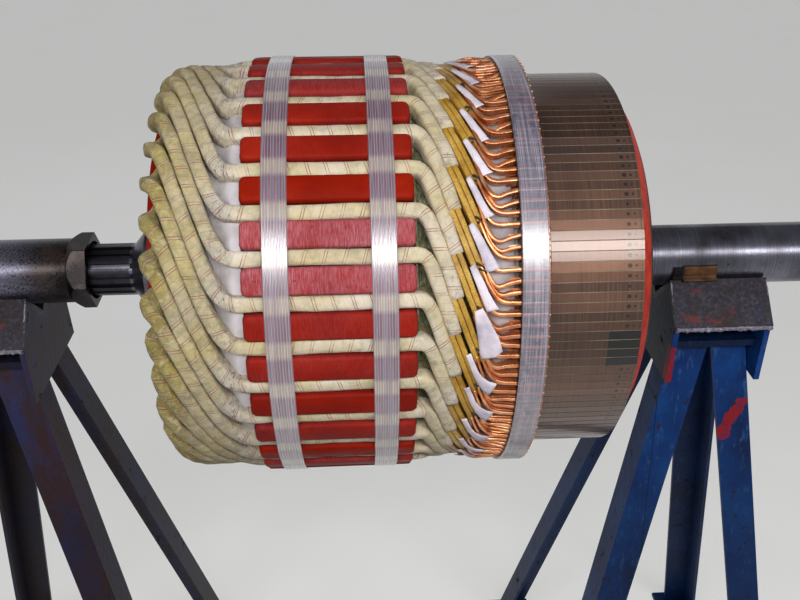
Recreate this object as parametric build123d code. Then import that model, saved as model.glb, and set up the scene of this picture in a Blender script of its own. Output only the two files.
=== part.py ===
from build123d import *
import os
from math import cos, degrees, dist, radians, sin, sqrt, tan

# A wound direct-current armature lying on two trestle stands.
# Millimetres, +Z up, the shaft along X with the commutator at +X.
# The origin is on the floor, midway between the two stands.

# Heights and stations along the shaft
axis_height = 1000.0
core_radius = 280.0
core_length = 192.0
core_centre = -25.0
core_left = core_centre - core_length / 2
core_right = core_centre + core_length / 2

# Slots and the coils in them
slot_count = 34
slot_angle = 8.0
slot_width = 18.6
slot_depth = 56.0
slot_clearance = 0.3
coil_inset = 4.0
layer_gap = 2.0
tooth_chamfer = 5.0
tooth_corner = 8.0
pole_span_slots = 4
slot_pitch = 360 / slot_count
slot_bottom_radius = core_radius - slot_depth
coil_top_radius = core_radius - coil_inset

# Core clamping and insulation
core_bore_radius = 150.0
pressure_plate_thickness = 22.0
pressure_plate_inset = 12.0
shelf_inset = 19.0
shelf_length = 9.0
pressure_plate_radius = slot_bottom_radius - pressure_plate_inset
shelf_radius = core_radius - shelf_inset

# Rear winding head
rear_coil_reach = 116.0
rear_nose_length = 30.0
nose_steps = 3
nose_tip_share = 0.4
nose_tip_inset = 16.0
rear_bend_inner = 9.0
rear_bend_outer = 19.0
arm_gap = 0.9
arm_drop = 5.0
arm_step = 11.0
support_drum_wall = 10.0
support_gap = 0.3
support_lip = 4.0
support_flange_thickness = 9.0
support_flange_width = 33.0
arm_top_radius = coil_top_radius - arm_drop

# Commutator-side winding head
front_bend_inner = 2.0
front_bend_outer = 11.0
front_tape_end = 46.0
front_tape_turn = 20.0
front_sleeve_end = 76.0
sleeve_drop = 3.0
sleeve_top_radius = arm_top_radius - sleeve_drop

# Commutator
bars_per_slot = 4
bar_count = slot_count * bars_per_slot
riser_offset = 115.0
riser_width = 31.5
riser_drop = 3.0
riser_step = 23.0
bar_length = 144.0
bar_depth = 48.0
mica_width = 1.2
lead_width = 5.2
lead_depth = 9.0
lead_inset = 1.5
lead_layer_gap = 3.0
backing_gap = 3.0
hub_wall = 16.0
hub_web = 30.0
end_cap_length = 24.0
end_ring_length = 18.0
end_ring_inset = 6.0
end_ring_slope = 24.0
end_ring_wall = 6.0
riser_radius = core_radius - riser_drop
bar_radius = riser_radius - riser_step
bar_inner_radius = bar_radius - bar_depth
lead_top_radius = riser_radius - lead_inset
end_ring_base = bar_radius - end_ring_inset
end_ring_tip = end_ring_base - end_ring_slope

# Glass bands wound round the armature
band_thickness = 1.6
core_band_width = 28.6
left_band_offset = -57.7
right_band_offset = 60.6
riser_band_width = 30.0

# Shaft and the sleeve on its splined end
seat_radius = 90.0
rear_seat_length = 40.0
front_seat_length = 30.0
shoulder_radius = 60.0
shoulder_flare = 24.0
shaft_radius = 43.0
shaft_end = 720.0
journal_radius = 37.5
journal_length = 50.0
spline_radius = 36.0
spline_root_radius = 31.5
spline_teeth = 16
spline_start = -640.0
spline_tooth_width = 7.0
spline_end = -302.0
sleeve_fit = 0.3
sleeve_wall = 8.1
sleeve_end = -690.0
collar_clearance = 4.0
collar_rise = 8.1
collar_start = -394.0
collar_length = 37.0
collar_turn = 28.0
sleeve_bore = spline_radius + sleeve_fit
sleeve_radius = sleeve_bore + sleeve_wall

# Trestle stands
stand_spacing = 1020.0
cradle_length = 137.0
cradle_leg = 70.0
cradle_ridge = 45.0
cradle_thickness = 8.0
running_clearance = 0.3
end_plate_thickness = 8.0
end_plate_bottom = -158.0
end_plate_half_width = 92.0
base_plate_top = -98.0
base_plate_thickness = 10.0
base_plate_half_width = 78.0
leg_flange = 50.0
leg_thickness = 6.0
leg_heel_x = 51.0
leg_heel_y = 60.0
leg_angle_x = 10.5
leg_angle_y = 10.1
foot_pad = 90.0
foot_pad_thickness = 8.0

# A twisted side is folded along its other diagonal where that is this much shorter
short_diagonal = 0.97

shaft_line = Axis((0, 0, axis_height), (1, 0, 0))


def ring_profile(points):
    """Revolve an outline of (x, radius) points about the shaft line."""
    placed = [(x, 0, axis_height + radius) for x, radius in points]
    return revolve(make_face(Polyline(*placed, close=True)), shaft_line)


def ring(start, end, outer, inner):
    """A plain ring between two stations."""
    return ring_profile([(start, inner), (end, inner), (end, outer), (start, outer)])


def point(x, angle, radius):
    """A point on the armature; the angle rises from the front side."""
    turn = radians(angle)
    return (x, -radius * cos(turn), axis_height + radius * sin(turn))


def polyhedron(rings):
    """A closed solid through equal rings of points, with flat ends."""
    size = len(rings[0])
    triangles = []
    for first, second in zip(rings, rings[1:]):
        for i in range(size):
            j = (i + 1) % size
            if dist(first[j], second[i]) < short_diagonal * dist(first[i], second[j]):
                triangles.append((first[i], first[j], second[i]))
                triangles.append((first[j], second[j], second[i]))
            else:
                triangles.append((first[i], first[j], second[j]))
                triangles.append((first[i], second[j], second[i]))
    start, end = rings[0], rings[-1]
    for i in range(1, size - 1):
        triangles.append((start[0], start[i + 1], start[i]))
        triangles.append((end[0], end[i], end[i + 1]))
    faces = [Face(Wire.make_polygon(corners)) for corners in triangles]
    solid = Solid(Shell(faces))
    if solid.volume < 0:
        solid = Solid(Shell([Face(Wire.make_polygon(corners[::-1])) for corners in triangles]))
    return solid


def strip(stations):
    """A strip through (x, low angle, high angle, outer radius, inner radius) stations."""
    return polyhedron([
        [point(x, low, outer), point(x, high, outer), point(x, high, inner), point(x, low, inner)]
        for x, low, high, outer, inner in stations
    ])


def around(solid, count, start_angle):
    """Copies of a solid set evenly round the shaft line."""
    return [
        solid.rotate(shaft_line, -(start_angle + i * 360 / count))
        for i in range(count)
    ]


def node(name, shapes):
    """Write one sub-part."""
    solids = shapes if isinstance(shapes, list) else [shapes]
    export_step(Compound(solids) if len(solids) > 1 else solids[0], f"parts/{name}.step")


def arc_angle(length, radius):
    """The angle in degrees that an arc of this length takes at a radius."""
    return degrees(length / radius)


# The slotted core and its clamping plates

def slotted_ring(start, end, outer, inner):
    """A ring with the armature's slots cut through its rim."""
    outline = Circle(outer) - Circle(inner)
    slot_middle = (slot_bottom_radius + core_radius + slot_width) / 2
    slot_depth = core_radius + slot_width - slot_bottom_radius
    for i in range(slot_count):
        turn = 180 - slot_angle - i * slot_pitch
        cut = Pos(slot_middle, 0) * Rectangle(slot_depth, slot_width)
        outline -= Rot(0, 0, turn) * cut
    plane = Plane((start, 0, axis_height), x_dir=(0, 1, 0), z_dir=(1, 0, 0))
    return extrude(plane * outline, end - start)


def slot_cutter():
    """The space of one slot, with mouths that open out between the tooth ends."""
    half, c = slot_width / 2, tooth_corner
    side = [
        (core_left - c, half + 2 * c), (core_left + c, half),
        (core_right - c, half), (core_right + c, half + 2 * c),
    ]
    outline = side + [(x, -z) for x, z in side[::-1]]
    face = make_face(Polyline(*[
        (x, -slot_bottom_radius, axis_height + z) for x, z in outline
    ], close=True))
    return extrude(face, slot_depth + slot_width, dir=(0, -1, 0))


def core_stack():
    """The laminated core, its teeth cut back at the corners and tips of both ends."""
    c = tooth_chamfer
    core = ring_profile([
        (core_left, core_bore_radius), (core_right, core_bore_radius),
        (core_right, core_radius - c), (core_right - c, core_radius),
        (core_left + c, core_radius), (core_left, core_radius - c),
    ])
    return core - around(slot_cutter(), slot_count, slot_angle)


# The winding

coil_half_angle = arc_angle(slot_width / 2 - slot_clearance, core_radius)
layer_depth = (coil_top_radius - slot_bottom_radius - slot_clearance - layer_gap) / 2
upper_layer = (arm_top_radius, arm_top_radius - layer_depth)
lower_layer = (upper_layer[1] - layer_gap, upper_layer[1] - layer_gap - layer_depth)
rear_coil_end = core_left - rear_bend_inner
front_coil_end = core_right + front_bend_inner
nose_start = core_left - rear_coil_reach + rear_nose_length
nose_tip = core_left - rear_coil_reach
tape_end = core_right + front_tape_end
sleeve_end_x = core_right + front_sleeve_end
span_angle = pole_span_slots * slot_pitch
arm_half_angle = slot_pitch / 2 - arc_angle(arm_gap, lower_layer[1])
bar_pitch = 360 / bar_count
lower_lead_top = lead_top_radius - lead_depth - lead_layer_gap
riser_start = core_right + riser_offset
riser_end = riser_start + riser_width
bar_end = riser_start + bar_length
riser_band_inner = riser_radius / cos(radians(bar_pitch / 2)) + support_gap
support_radius = lower_layer[1] * cos(radians(arm_step / 2)) - support_gap


def slot_coil():
    """One straight coil side lying in its slot."""
    half = slot_width / 2 - slot_clearance
    corners = []
    for x in (rear_coil_end, front_coil_end):
        corners.append([
            (x, -radius, axis_height + side)
            for side, radius in (
                (-half, coil_top_radius), (half, coil_top_radius),
                (half, slot_bottom_radius + slot_clearance), (-half, slot_bottom_radius + slot_clearance),
            )
        ])
    return polyhedron(corners)


def arm_stations(layer, start, bend, end, far_low, far_high):
    """Stations of a slanted coil end, from its slot round the bend to its far edges."""
    outer, inner = layer
    low, high = -coil_half_angle, coil_half_angle
    steps = max(1, round((far_low - low) / arm_step))
    stations = [(start, low, high, outer, inner)]
    for i in range(steps + 1):
        x = bend + (end - bend) * i / steps
        low_edge = low + (far_low - low) * i / steps
        high_edge = high + (far_high - high) * (x - start) / (end - start)
        stations.append((x, low_edge, high_edge, outer, inner))
    return stations


def mirrored(stations):
    """The same strip slanting the other way."""
    return [(x, -high, -low, outer, inner) for x, low, high, outer, inner in stations]


def rear_arm(layer, direction):
    """A coil end on the rear side, up to its nose."""
    stations = arm_stations(
        layer, rear_coil_end, core_left - rear_bend_outer, nose_start,
        span_angle - arm_half_angle, span_angle + arm_half_angle,
    )
    return strip(stations if direction > 0 else mirrored(stations))


def rear_nose():
    """The rounded knuckle where a coil folds from its upper to its lower layer."""
    stations = []
    for i in range(nose_steps + 1):
        turn = radians(90 * i / nose_steps)
        half = arm_half_angle * (nose_tip_share + (1 - nose_tip_share) * cos(turn))
        inset = nose_tip_inset * (1 - cos(turn))
        x = nose_start - rear_nose_length * sin(turn)
        stations.append((x, -half, half, upper_layer[0] - inset, lower_layer[1] + inset))
    return strip(stations)


def front_upper_arm():
    """A taped upper coil end on the commutator side, up to its cut tape."""
    return strip(mirrored(arm_stations(
        upper_layer, front_coil_end, core_right + front_bend_outer, tape_end,
        front_tape_turn - arm_half_angle, front_tape_turn + arm_half_angle,
    )))


def front_lower_arm():
    """A lower coil end on the commutator side, up to its bare leads."""
    return strip(arm_stations(
        lower_layer, front_coil_end, core_right + front_bend_outer, sleeve_end_x,
        span_angle - arm_half_angle, span_angle + arm_half_angle,
    ))


def lead_sleeve():
    """The flat pack of sleeved leads between the tape and the bare copper."""
    steps = round((span_angle - front_tape_turn) / arm_step)
    stations = []
    for i in range(steps + 1):
        x = tape_end + (sleeve_end_x - tape_end) * i / steps
        turn = front_tape_turn + (span_angle - front_tape_turn) * i / steps
        low, high = turn - arm_half_angle, turn + arm_half_angle
        stations.append((x, low, high, sleeve_top_radius, upper_layer[1]))
    return strip(mirrored(stations))


def bare_leads(start_top, end_top):
    """The bare conductors of one layer, which run straight into their risers."""
    half = arc_angle(lead_width / 2, riser_radius)
    lead = strip([
        (sleeve_end_x, -half, half, start_top, start_top - lead_depth),
        (riser_start, -half, half, end_top, end_top - lead_depth),
    ])
    return around(lead, bar_count, slot_angle + bar_pitch / 2)


# The commutator

def commutator_bar():
    """One copper segment with its raised riser end."""
    half_angle = radians(bar_pitch / 2)
    gap = mica_width / 2
    outline = [
        (riser_start, bar_inner_radius), (bar_end, bar_inner_radius), (bar_end, bar_radius),
        (riser_end, bar_radius), (riser_end, riser_radius), (riser_start, riser_radius),
    ]
    return polyhedron([
        [(x, -radius, axis_height + side * (radius * tan(half_angle) - gap)) for x, radius in outline]
        for side in (-1, 1)
    ])


def commutator_hub():
    """The steel hub that carries the bars: a rim, a web and a boss on the shaft."""
    rim = bar_inner_radius - support_gap
    middle = (riser_start + bar_end) / 2
    return ring_profile([
        (riser_start, seat_radius), (bar_end, seat_radius), (bar_end, seat_radius + hub_wall),
        (middle + hub_web / 2, seat_radius + hub_wall), (middle + hub_web / 2, rim - hub_wall),
        (bar_end, rim - hub_wall), (bar_end, rim), (riser_start, rim), (riser_start, rim - hub_wall),
        (middle - hub_web / 2, rim - hub_wall), (middle - hub_web / 2, seat_radius + hub_wall),
        (riser_start, seat_radius + hub_wall),
    ])


def end_ring():
    """The insulated cone that covers the clamping ring at the outer end of the bars."""
    tip = bar_end + end_ring_length
    return ring_profile([
        (bar_end, end_ring_base - end_ring_wall), (tip, end_ring_tip - end_ring_wall),
        (tip, end_ring_tip), (bar_end, end_ring_base),
    ])


def end_cap():
    """The steel clamping ring inside the insulated cone."""
    inset = end_ring_wall + support_gap
    return ring_profile([
        (bar_end, seat_radius), (bar_end + end_cap_length, seat_radius),
        (bar_end + end_cap_length, end_ring_tip - inset - end_cap_length + end_ring_length),
        (bar_end + end_ring_length, end_ring_tip - inset), (bar_end, end_ring_base - inset),
    ])


# The stands

def cradle_angle(bearing_radius, side, middle):
    """One angle iron, its corner up, whose inner face carries the shaft."""
    apex = -(bearing_radius + running_clearance) * sqrt(2)
    ridge = apex + cradle_ridge
    reach = cradle_leg / sqrt(2)
    t = cradle_thickness * sqrt(2)
    outline = [
        (0, apex), (cradle_ridge, ridge), (cradle_ridge + reach, ridge - reach),
        (cradle_ridge + reach - t / 2, ridge - reach - t / 2),
        (cradle_ridge, ridge - t), (0, apex - t),
    ]
    face = make_face(Polyline(*[
        (middle - cradle_length / 2, side * y, axis_height + z) for y, z in outline
    ], close=True))
    return extrude(face, cradle_length, dir=(1, 0, 0))


def end_plate(bearing_radius, start):
    """The plate welded across one end of the cradle."""
    apex = -(bearing_radius + running_clearance) * sqrt(2)
    t = cradle_thickness * sqrt(2)
    reach = cradle_leg / sqrt(2) - t / 2
    ridge = apex + cradle_ridge - t
    half = [
        (0, apex - t), (cradle_ridge, ridge), (cradle_ridge + reach, ridge - reach),
        (end_plate_half_width, end_plate_bottom),
    ]
    outline = half + [(-y, z) for y, z in half[:0:-1]]
    face = make_face(Polyline(*[(start, y, axis_height + z) for y, z in outline], close=True))
    return extrude(face, end_plate_thickness, dir=(1, 0, 0))


def leg(middle, side_x, side_y):
    """One angle-iron leg with its foot pad, heel outwards."""
    top = base_plate_top - base_plate_thickness
    drop = axis_height + top - foot_pad_thickness
    heel = (middle + side_x * leg_heel_x, side_y * leg_heel_y)
    a, t = leg_flange, leg_thickness
    outline = [(0, 0), (-a, 0), (-a, -t), (-t, -t), (-t, -a), (0, -a)]
    placed = [(heel[0] + side_x * u, heel[1] + side_y * v, axis_height + top) for u, v in outline]
    face = make_face(Polyline(*placed, close=True))
    spread_x, spread_y = side_x * tan(radians(leg_angle_x)), side_y * tan(radians(leg_angle_y))
    run = Vector(spread_x, spread_y, -1)
    limb = extrude(face, drop * run.length, dir=run)
    foot = (heel[0] + spread_x * drop - side_x * a / 2, heel[1] + spread_y * drop - side_y * a / 2)
    pad = Pos(foot[0], foot[1], foot_pad_thickness / 2) * Box(foot_pad, foot_pad, foot_pad_thickness)
    return limb + pad


def stand(side_name, middle, bearing_radius):
    """The pieces of one trestle stand."""
    node(f"{side_name}_cradle_front_angle", cradle_angle(bearing_radius, -1, middle))
    node(f"{side_name}_cradle_rear_angle", cradle_angle(bearing_radius, 1, middle))
    end = cradle_length / 2
    node(f"{side_name}_end_plates", [
        end_plate(bearing_radius, middle - end),
        end_plate(bearing_radius, middle + end - end_plate_thickness),
    ])
    plate_length = cradle_length - 2 * end_plate_thickness
    plate_middle = axis_height + base_plate_top - base_plate_thickness / 2
    node(f"{side_name}_base_plate", Pos(middle, 0, plate_middle) * Box(
        plate_length, 2 * base_plate_half_width, base_plate_thickness))
    for x_name, side_x in (("left", -1), ("right", 1)):
        for y_name, side_y in (("front", -1), ("rear", 1)):
            node(f"{side_name}_{y_name}_{x_name}_leg", leg(middle, side_x, side_y))


# The shaft and its sleeve

def spline():
    """The straight-sided teeth cut along the end of the shaft."""
    section = Circle(spline_root_radius)
    for i in range(spline_teeth):
        section += Rot(0, 0, i * 360 / spline_teeth) * Pos(spline_radius / 2, 0) * Rectangle(
            spline_radius, spline_tooth_width)
    section &= Circle(spline_radius)
    plane = Plane((spline_start, 0, axis_height), x_dir=(0, 1, 0), z_dir=(1, 0, 0))
    return extrude(plane * section, spline_end + shoulder_flare - spline_start)


def shaft():
    """The turned shaft with its core seat, far journal and splined end."""
    journal_start = shaft_end - journal_length
    seat_start = core_left - rear_seat_length
    seat_end = bar_end + end_cap_length + front_seat_length
    turned = ring_profile([
        (spline_end, 0), (shaft_end, 0), (shaft_end, journal_radius),
        (journal_start, journal_radius), (journal_start, shaft_radius),
        (seat_end, shaft_radius), (seat_end, seat_radius), (seat_start, seat_radius),
        (seat_start, shoulder_radius), (spline_end + shoulder_flare, shoulder_radius),
        (spline_end, spline_root_radius),
    ])
    return turned + spline()


def end_sleeve():
    """The tube pushed over the splined end, with its six-sided collar."""
    tube = ring(sleeve_end, collar_start, sleeve_radius, sleeve_bore)
    plane = Plane((collar_start, 0, axis_height), x_dir=(0, 1, 0), z_dir=(1, 0, 0))
    hexagon = Rot(0, 0, 90 - collar_turn) * RegularPolygon(sleeve_radius + collar_rise, 6)
    flats = hexagon - Circle(spline_radius + collar_clearance)
    return tube + extrude(plane * flats, collar_length)


def armature():
    """All the pieces that turn with the shaft."""
    node("shaft", shaft())
    node("end_sleeve", end_sleeve())
    node("core_stack", core_stack())
    thickness = pressure_plate_thickness
    node("rear_pressure_plate", ring(
        core_left - thickness, core_left, pressure_plate_radius, seat_radius))
    node("front_pressure_plate", ring(
        core_right, core_right + thickness, pressure_plate_radius, seat_radius))
    node("core_spider", ring(core_left, core_right, core_bore_radius, seat_radius))
    node("rear_shelf", slotted_ring(
        core_left - shelf_length, core_left, shelf_radius, pressure_plate_radius))
    node("front_shelf", slotted_ring(
        core_right, core_right + front_bend_inner, shelf_radius, pressure_plate_radius))
    node("slot_coils", around(slot_coil(), slot_count, slot_angle))
    node("rear_upper_arms", around(rear_arm(upper_layer, 1), slot_count, slot_angle))
    node("rear_lower_arms", around(rear_arm(lower_layer, -1), slot_count, slot_angle))
    node("front_upper_arms", around(front_upper_arm(), slot_count, slot_angle))
    node("front_lower_arms", around(front_lower_arm(), slot_count, slot_angle))
    node("rear_noses", around(rear_nose(), slot_count, slot_angle))
    node("lead_sleeves", around(lead_sleeve(), slot_count, slot_angle))
    node("upper_leads", bare_leads(sleeve_top_radius, lead_top_radius))
    node("lower_leads", bare_leads(lower_layer[0], lower_lead_top))
    node("commutator_bars", around(commutator_bar(), bar_count, slot_angle + bar_pitch / 2))
    node("commutator_hub", commutator_hub())
    node("end_ring", end_ring())
    node("end_cap", end_cap())
    drum_inner = support_radius - support_drum_wall
    rim = nose_tip + support_lip
    node("rear_support_drum", ring(rim, core_left - thickness, support_radius, drum_inner))
    node("rear_support_flange", ring(
        rim, rim + support_flange_thickness, drum_inner, drum_inner - support_flange_width))
    node("front_support_drum", ring(core_right + thickness, riser_start, support_radius, drum_inner))
    node("lead_backing", ring_profile([
        (sleeve_end_x, support_radius), (riser_start, support_radius),
        (riser_start, lower_lead_top - lead_depth - backing_gap),
        (sleeve_end_x, lower_layer[0] - lead_depth - backing_gap),
    ]))
    for name, offset in (("left", left_band_offset), ("right", right_band_offset)):
        middle = core_centre + offset
        node(f"{name}_core_band", ring(
            middle - core_band_width / 2, middle + core_band_width / 2,
            core_radius + support_gap + band_thickness, core_radius + support_gap))
    node("riser_band", ring(
        riser_start, riser_start + riser_band_width,
        riser_band_inner + band_thickness, riser_band_inner))


if __name__ == "__main__":
    os.makedirs("parts", exist_ok=True)
    armature()
    stand("left", -stand_spacing / 2, sleeve_radius)
    stand("right", stand_spacing / 2, shaft_radius)
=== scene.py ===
import bpy
import random
import numpy as np
from math import cos, degrees, exp, pi, radians, sin, tan
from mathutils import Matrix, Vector


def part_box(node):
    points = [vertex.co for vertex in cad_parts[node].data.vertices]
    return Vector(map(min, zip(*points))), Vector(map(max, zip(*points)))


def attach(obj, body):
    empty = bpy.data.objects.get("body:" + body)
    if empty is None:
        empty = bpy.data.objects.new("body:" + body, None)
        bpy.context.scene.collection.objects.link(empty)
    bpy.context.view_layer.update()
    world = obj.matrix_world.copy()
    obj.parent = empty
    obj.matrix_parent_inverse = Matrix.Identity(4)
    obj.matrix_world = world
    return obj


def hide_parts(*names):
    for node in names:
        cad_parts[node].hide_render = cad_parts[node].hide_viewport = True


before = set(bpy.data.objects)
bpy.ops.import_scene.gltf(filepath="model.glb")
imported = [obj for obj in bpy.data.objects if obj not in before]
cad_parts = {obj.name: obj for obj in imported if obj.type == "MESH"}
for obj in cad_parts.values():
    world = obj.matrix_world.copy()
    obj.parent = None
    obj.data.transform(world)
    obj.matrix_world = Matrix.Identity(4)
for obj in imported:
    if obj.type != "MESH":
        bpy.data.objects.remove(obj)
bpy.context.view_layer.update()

# Sizes of the armature, in millimetres and degrees. UPPER and LOWER are the radii of the two layers
# of coil arms, at the middle of an arm.
AXIS = 1000.0
SLOTS = 34
PITCH = 360 / SLOTS
FIRST_SLOT = 8.0
BAR_COUNT = 4 * SLOTS
BAR_PITCH = PITCH / 4
CORE = (-121.0, 71.0)
CORE_RADIUS, BAR_RADIUS = 280.0, 254.0
UPPER, LOWER = 258.6, 231.7
UPPER_SLOT, LOWER_SLOT = 263.6, 237.5

# Sizes that the materials use, in metres
TAPE_PITCH = 0.022
SPLINE_START = -0.302


def rgb(code):
    """The linear values of a colour code."""
    values = [int(code[i:i + 2], 16) / 255 for i in (1, 3, 5)]
    return tuple(v / 12.92 if v <= 0.04045 else ((v + 0.055) / 1.055) ** 2.4 for v in values) + (1.0,)


def by_node(kind):
    """A method that leaves its arithmetic to a math node."""
    return lambda self, *other: self.nodes.math(kind, self, *other)


class Value:
    """A node's output, for use in plain arithmetic."""

    __add__, __sub__, __mul__ = by_node("ADD"), by_node("SUBTRACT"), by_node("MULTIPLY")
    __truediv__, __lt__, __gt__ = by_node("DIVIDE"), by_node("LESS_THAN"), by_node("GREATER_THAN")
    __abs__ = by_node("ABSOLUTE")

    def __init__(self, nodes, socket):
        self.nodes, self.socket = nodes, socket

    def __rsub__(self, other):
        return self.nodes.math("SUBTRACT", other, self)


class Nodes:
    """Short ways to add nodes to a tree."""

    def __init__(self, tree):
        self.tree = tree

    def put(self, item, key, value):
        if isinstance(value, Value):
            self.tree.links.new(value.socket, item.inputs[key])
        elif value is not None:
            item.inputs[key].default_value = value

    def add(self, kind, out=0, settings=(), **inputs):
        """A new node's output; an input is named, or numbered as in i0."""
        item = self.tree.nodes.new("ShaderNode" + kind)
        for key, value in settings:
            setattr(item, key, value)
        for key, value in inputs.items():
            numbered = key[0] == "i" and key[1:].isdigit()
            self.put(item, int(key[1:]) if numbered else key.replace("_", " "), value)
        return Value(self, item.outputs[out])

    def math(self, kind, a, b=None, clamp=False):
        return self.add("Math", 0, [("operation", kind), ("use_clamp", clamp)], i0=a, i1=b)

    def split(self, vector):
        item = self.tree.nodes.new("ShaderNodeSeparateXYZ")
        self.put(item, 0, vector)
        return [Value(self, part) for part in item.outputs]

    def ramp(self, factor, stops):
        """A colour or grey ramp through (position, colour) stops."""
        item = self.tree.nodes.new("ShaderNodeValToRGB")
        for _ in range(len(stops) - 2):
            item.color_ramp.elements.new(0.5)
        for element, (position, colour) in zip(item.color_ramp.elements, stops):
            element.position = position
            if isinstance(colour, float):
                colour = (colour, colour, colour, 1.0)
            element.color = rgb(colour) if isinstance(colour, str) else colour
        self.put(item, 0, factor)
        return Value(self, item.outputs[0])

    def rise(self, factor, low, high, most):
        """An amount that grows from nothing at low to the most at high."""
        return self.ramp(factor, [(low, 0.0), (high, most)])

    def background_ray(self):
        """1 where a ray shows the background: from the camera, off metal or through glass."""
        camera, glossy, through = (self.add("LightPath", f"Is {name} Ray")
                                   for name in ("Camera", "Glossy", "Transmission"))
        return self.math("ADD", self.math("ADD", camera, glossy, clamp=True), through, clamp=True)


class Paint(Nodes):
    """A principled material."""

    def __init__(self, name, colour, rough=0.5, metal=0.0, **sockets):
        self.material = bpy.data.materials.new(name)
        self.material.use_nodes = True
        super().__init__(self.material.node_tree)
        self.shader = self.tree.nodes["Principled BSDF"]
        self.place = self.add("TexCoord", "Object")
        self.set(Base_Color=rgb(colour), Roughness=rough, Metallic=metal, **sockets)

    def set(self, **sockets):
        for key, value in sockets.items():
            self.put(self.shader, key.replace("_", " "), value)

    def uv(self):
        return self.add("UVMap", 0, [("uv_map", "path")])

    def attribute(self, name):
        return self.add("Attribute", "Fac", [("attribute_name", name)])

    def noise(self, scale, detail=3.0, rough=0.55, warp=0.0, stretch=None, vector=None):
        vector = vector or self.place
        if stretch:
            vector = self.add("Mapping", Vector=vector, Scale=stretch)
        return self.add("TexNoise", "Fac", Vector=vector, Scale=scale, Detail=detail, Roughness=rough,
                        Distortion=warp)

    def mix(self, factor, a, b):
        a, b = (rgb(colour) if isinstance(colour, str) else colour for colour in (a, b))
        return self.add("Mix", 2, [("data_type", "RGBA")], i0=factor, i6=a, i7=b)

    def patches(self, tone, colour, low, high, most, *noise, **options):
        """A tone with patches of a colour where a noise is high."""
        return self.mix(self.rise(self.noise(*noise, **options), low, high, most), tone, colour)

    def relief(self, height, depth, strength, **sockets):
        """Gives the surface its relief and last settings, and returns the finished material."""
        self.set(Normal=self.add("Bump", Height=height, Distance=depth, Strength=strength), **sockets)
        return self.material


# Materials

def bar_step(paint):
    """The number of the commutator bar at a place, and the distance along the shaft."""
    x, y, z = paint.split(paint.place)
    turn = paint.math("ARCTAN2", z - AXIS / 1000, y * -1.0) / (2 * pi)
    return (turn - FIRST_SLOT / 360) * (360 / BAR_PITCH), x


def cotton_tape():
    paint = Paint("cotton_tape", "#e4dcb4", 0.72, Specular_IOR_Level=0.26)
    uv = paint.split(paint.uv())
    age, wrap, lean, shade = (paint.attribute(name) for name in ("age", "wrap", "lean", "shade"))
    wander = paint.noise(38.0, 2.0)
    along = wander * 0.0016 + (uv[1] * lean + uv[0])
    tracer = paint.math("FRACT", along / TAPE_PITCH)
    red = paint.ramp(tracer, [(0.0, 0.0), (0.41, 0.0), (0.43, 1.0), (0.45, 1.0), (0.47, 0.0),
                              (0.55, 0.0), (0.57, 1.0), (0.59, 1.0), (0.61, 0.0), (1.0, 0.0)])
    pale = paint.ramp(tracer, [(0.0, 0.0), (0.46, 0.0), (0.49, 1.0), (0.53, 1.0), (0.56, 0.0), (1.0, 0.0)])
    lap = paint.math("FRACT", along / (TAPE_PITCH / 2))
    edge = paint.ramp(lap, [(0.0, 1.0), (0.05, 0.0), (0.95, 0.0), (1.0, 1.0)])
    broad = paint.ramp(paint.noise(9.0, 3.0), [(0.3, "#cbbd9e"), (0.5, "#dacfbb"), (0.72, "#e2dacf")])
    old = paint.ramp(paint.noise(30.0, 5.0, 0.65), [(0.25, "#6f5f28"), (0.5, "#9a883f"), (0.75, "#bdab66")])
    colour = paint.mix(age, broad, old)
    colour = paint.patches(colour, "#c2b163", 0.4, 0.62, 0.42, 24.0, 3.0)
    colour = paint.mix(wrap * 0.6, colour, "#d9d2d0")
    worn = paint.ramp(paint.noise(65.0, 3.0), [(0.3, 0.25), (0.6, 0.85)])
    fold = paint.noise(95.0, 5.0, 0.7, 0.8)
    folded = age * 0.7 + 0.3
    # Folds are lighter on their crests and darker in their hollows: a painted highlight and painted shade
    colour = paint.mix(paint.rise(fold, 0.5, 0.68, 0.55) * folded, colour, "#e6dcbd")
    colour = paint.mix(paint.ramp(fold, [(0.3, 0.6), (0.46, 0.0)]) * folded, colour, "#7b7046")
    colour = paint.mix(edge * (age * 0.38 + 0.16), colour, "#5f5538")
    colour = paint.mix(pale * 0.2, colour, "#f0d8cf")
    colour = paint.mix(red * worn, colour, "#84352a")
    crumple = paint.noise(420.0, 2.0, 0.6, 0.4, stretch=(1.0, 0.35, 0.35))
    spots = paint.rise(crumple, 0.58, 0.66, 1.0)
    colour = paint.mix(spots * (wrap * 0.85), colour, "#5f5470")
    colour = paint.patches(colour, "#857d62", 0.5, 0.74, 0.55, 55.0, 5.0, 0.65)
    colour = paint.mix(shade, colour, "#1d1a12")
    weave = paint.add("TexWave", "Fac", [("wave_type", "BANDS")], Vector=paint.uv(), Scale=420.0,
                      Distortion=1.5)
    pleat = paint.noise(1.0, 4.0, 0.6, 0.6, stretch=(260.0, 55.0, 1.0), vector=paint.uv())
    height = weave * 0.07 + lap * 0.45 + paint.noise(160.0, 3.0) * 0.5
    height += pleat * (age * 1.1 + wrap * 0.9 + 0.15) + fold * (age * 1.5 + 0.5) + crumple * (wrap * 1.1)
    return paint.relief(height, 0.0028, 0.95, Base_Color=colour, Sheen_Weight=0.15)


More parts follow.
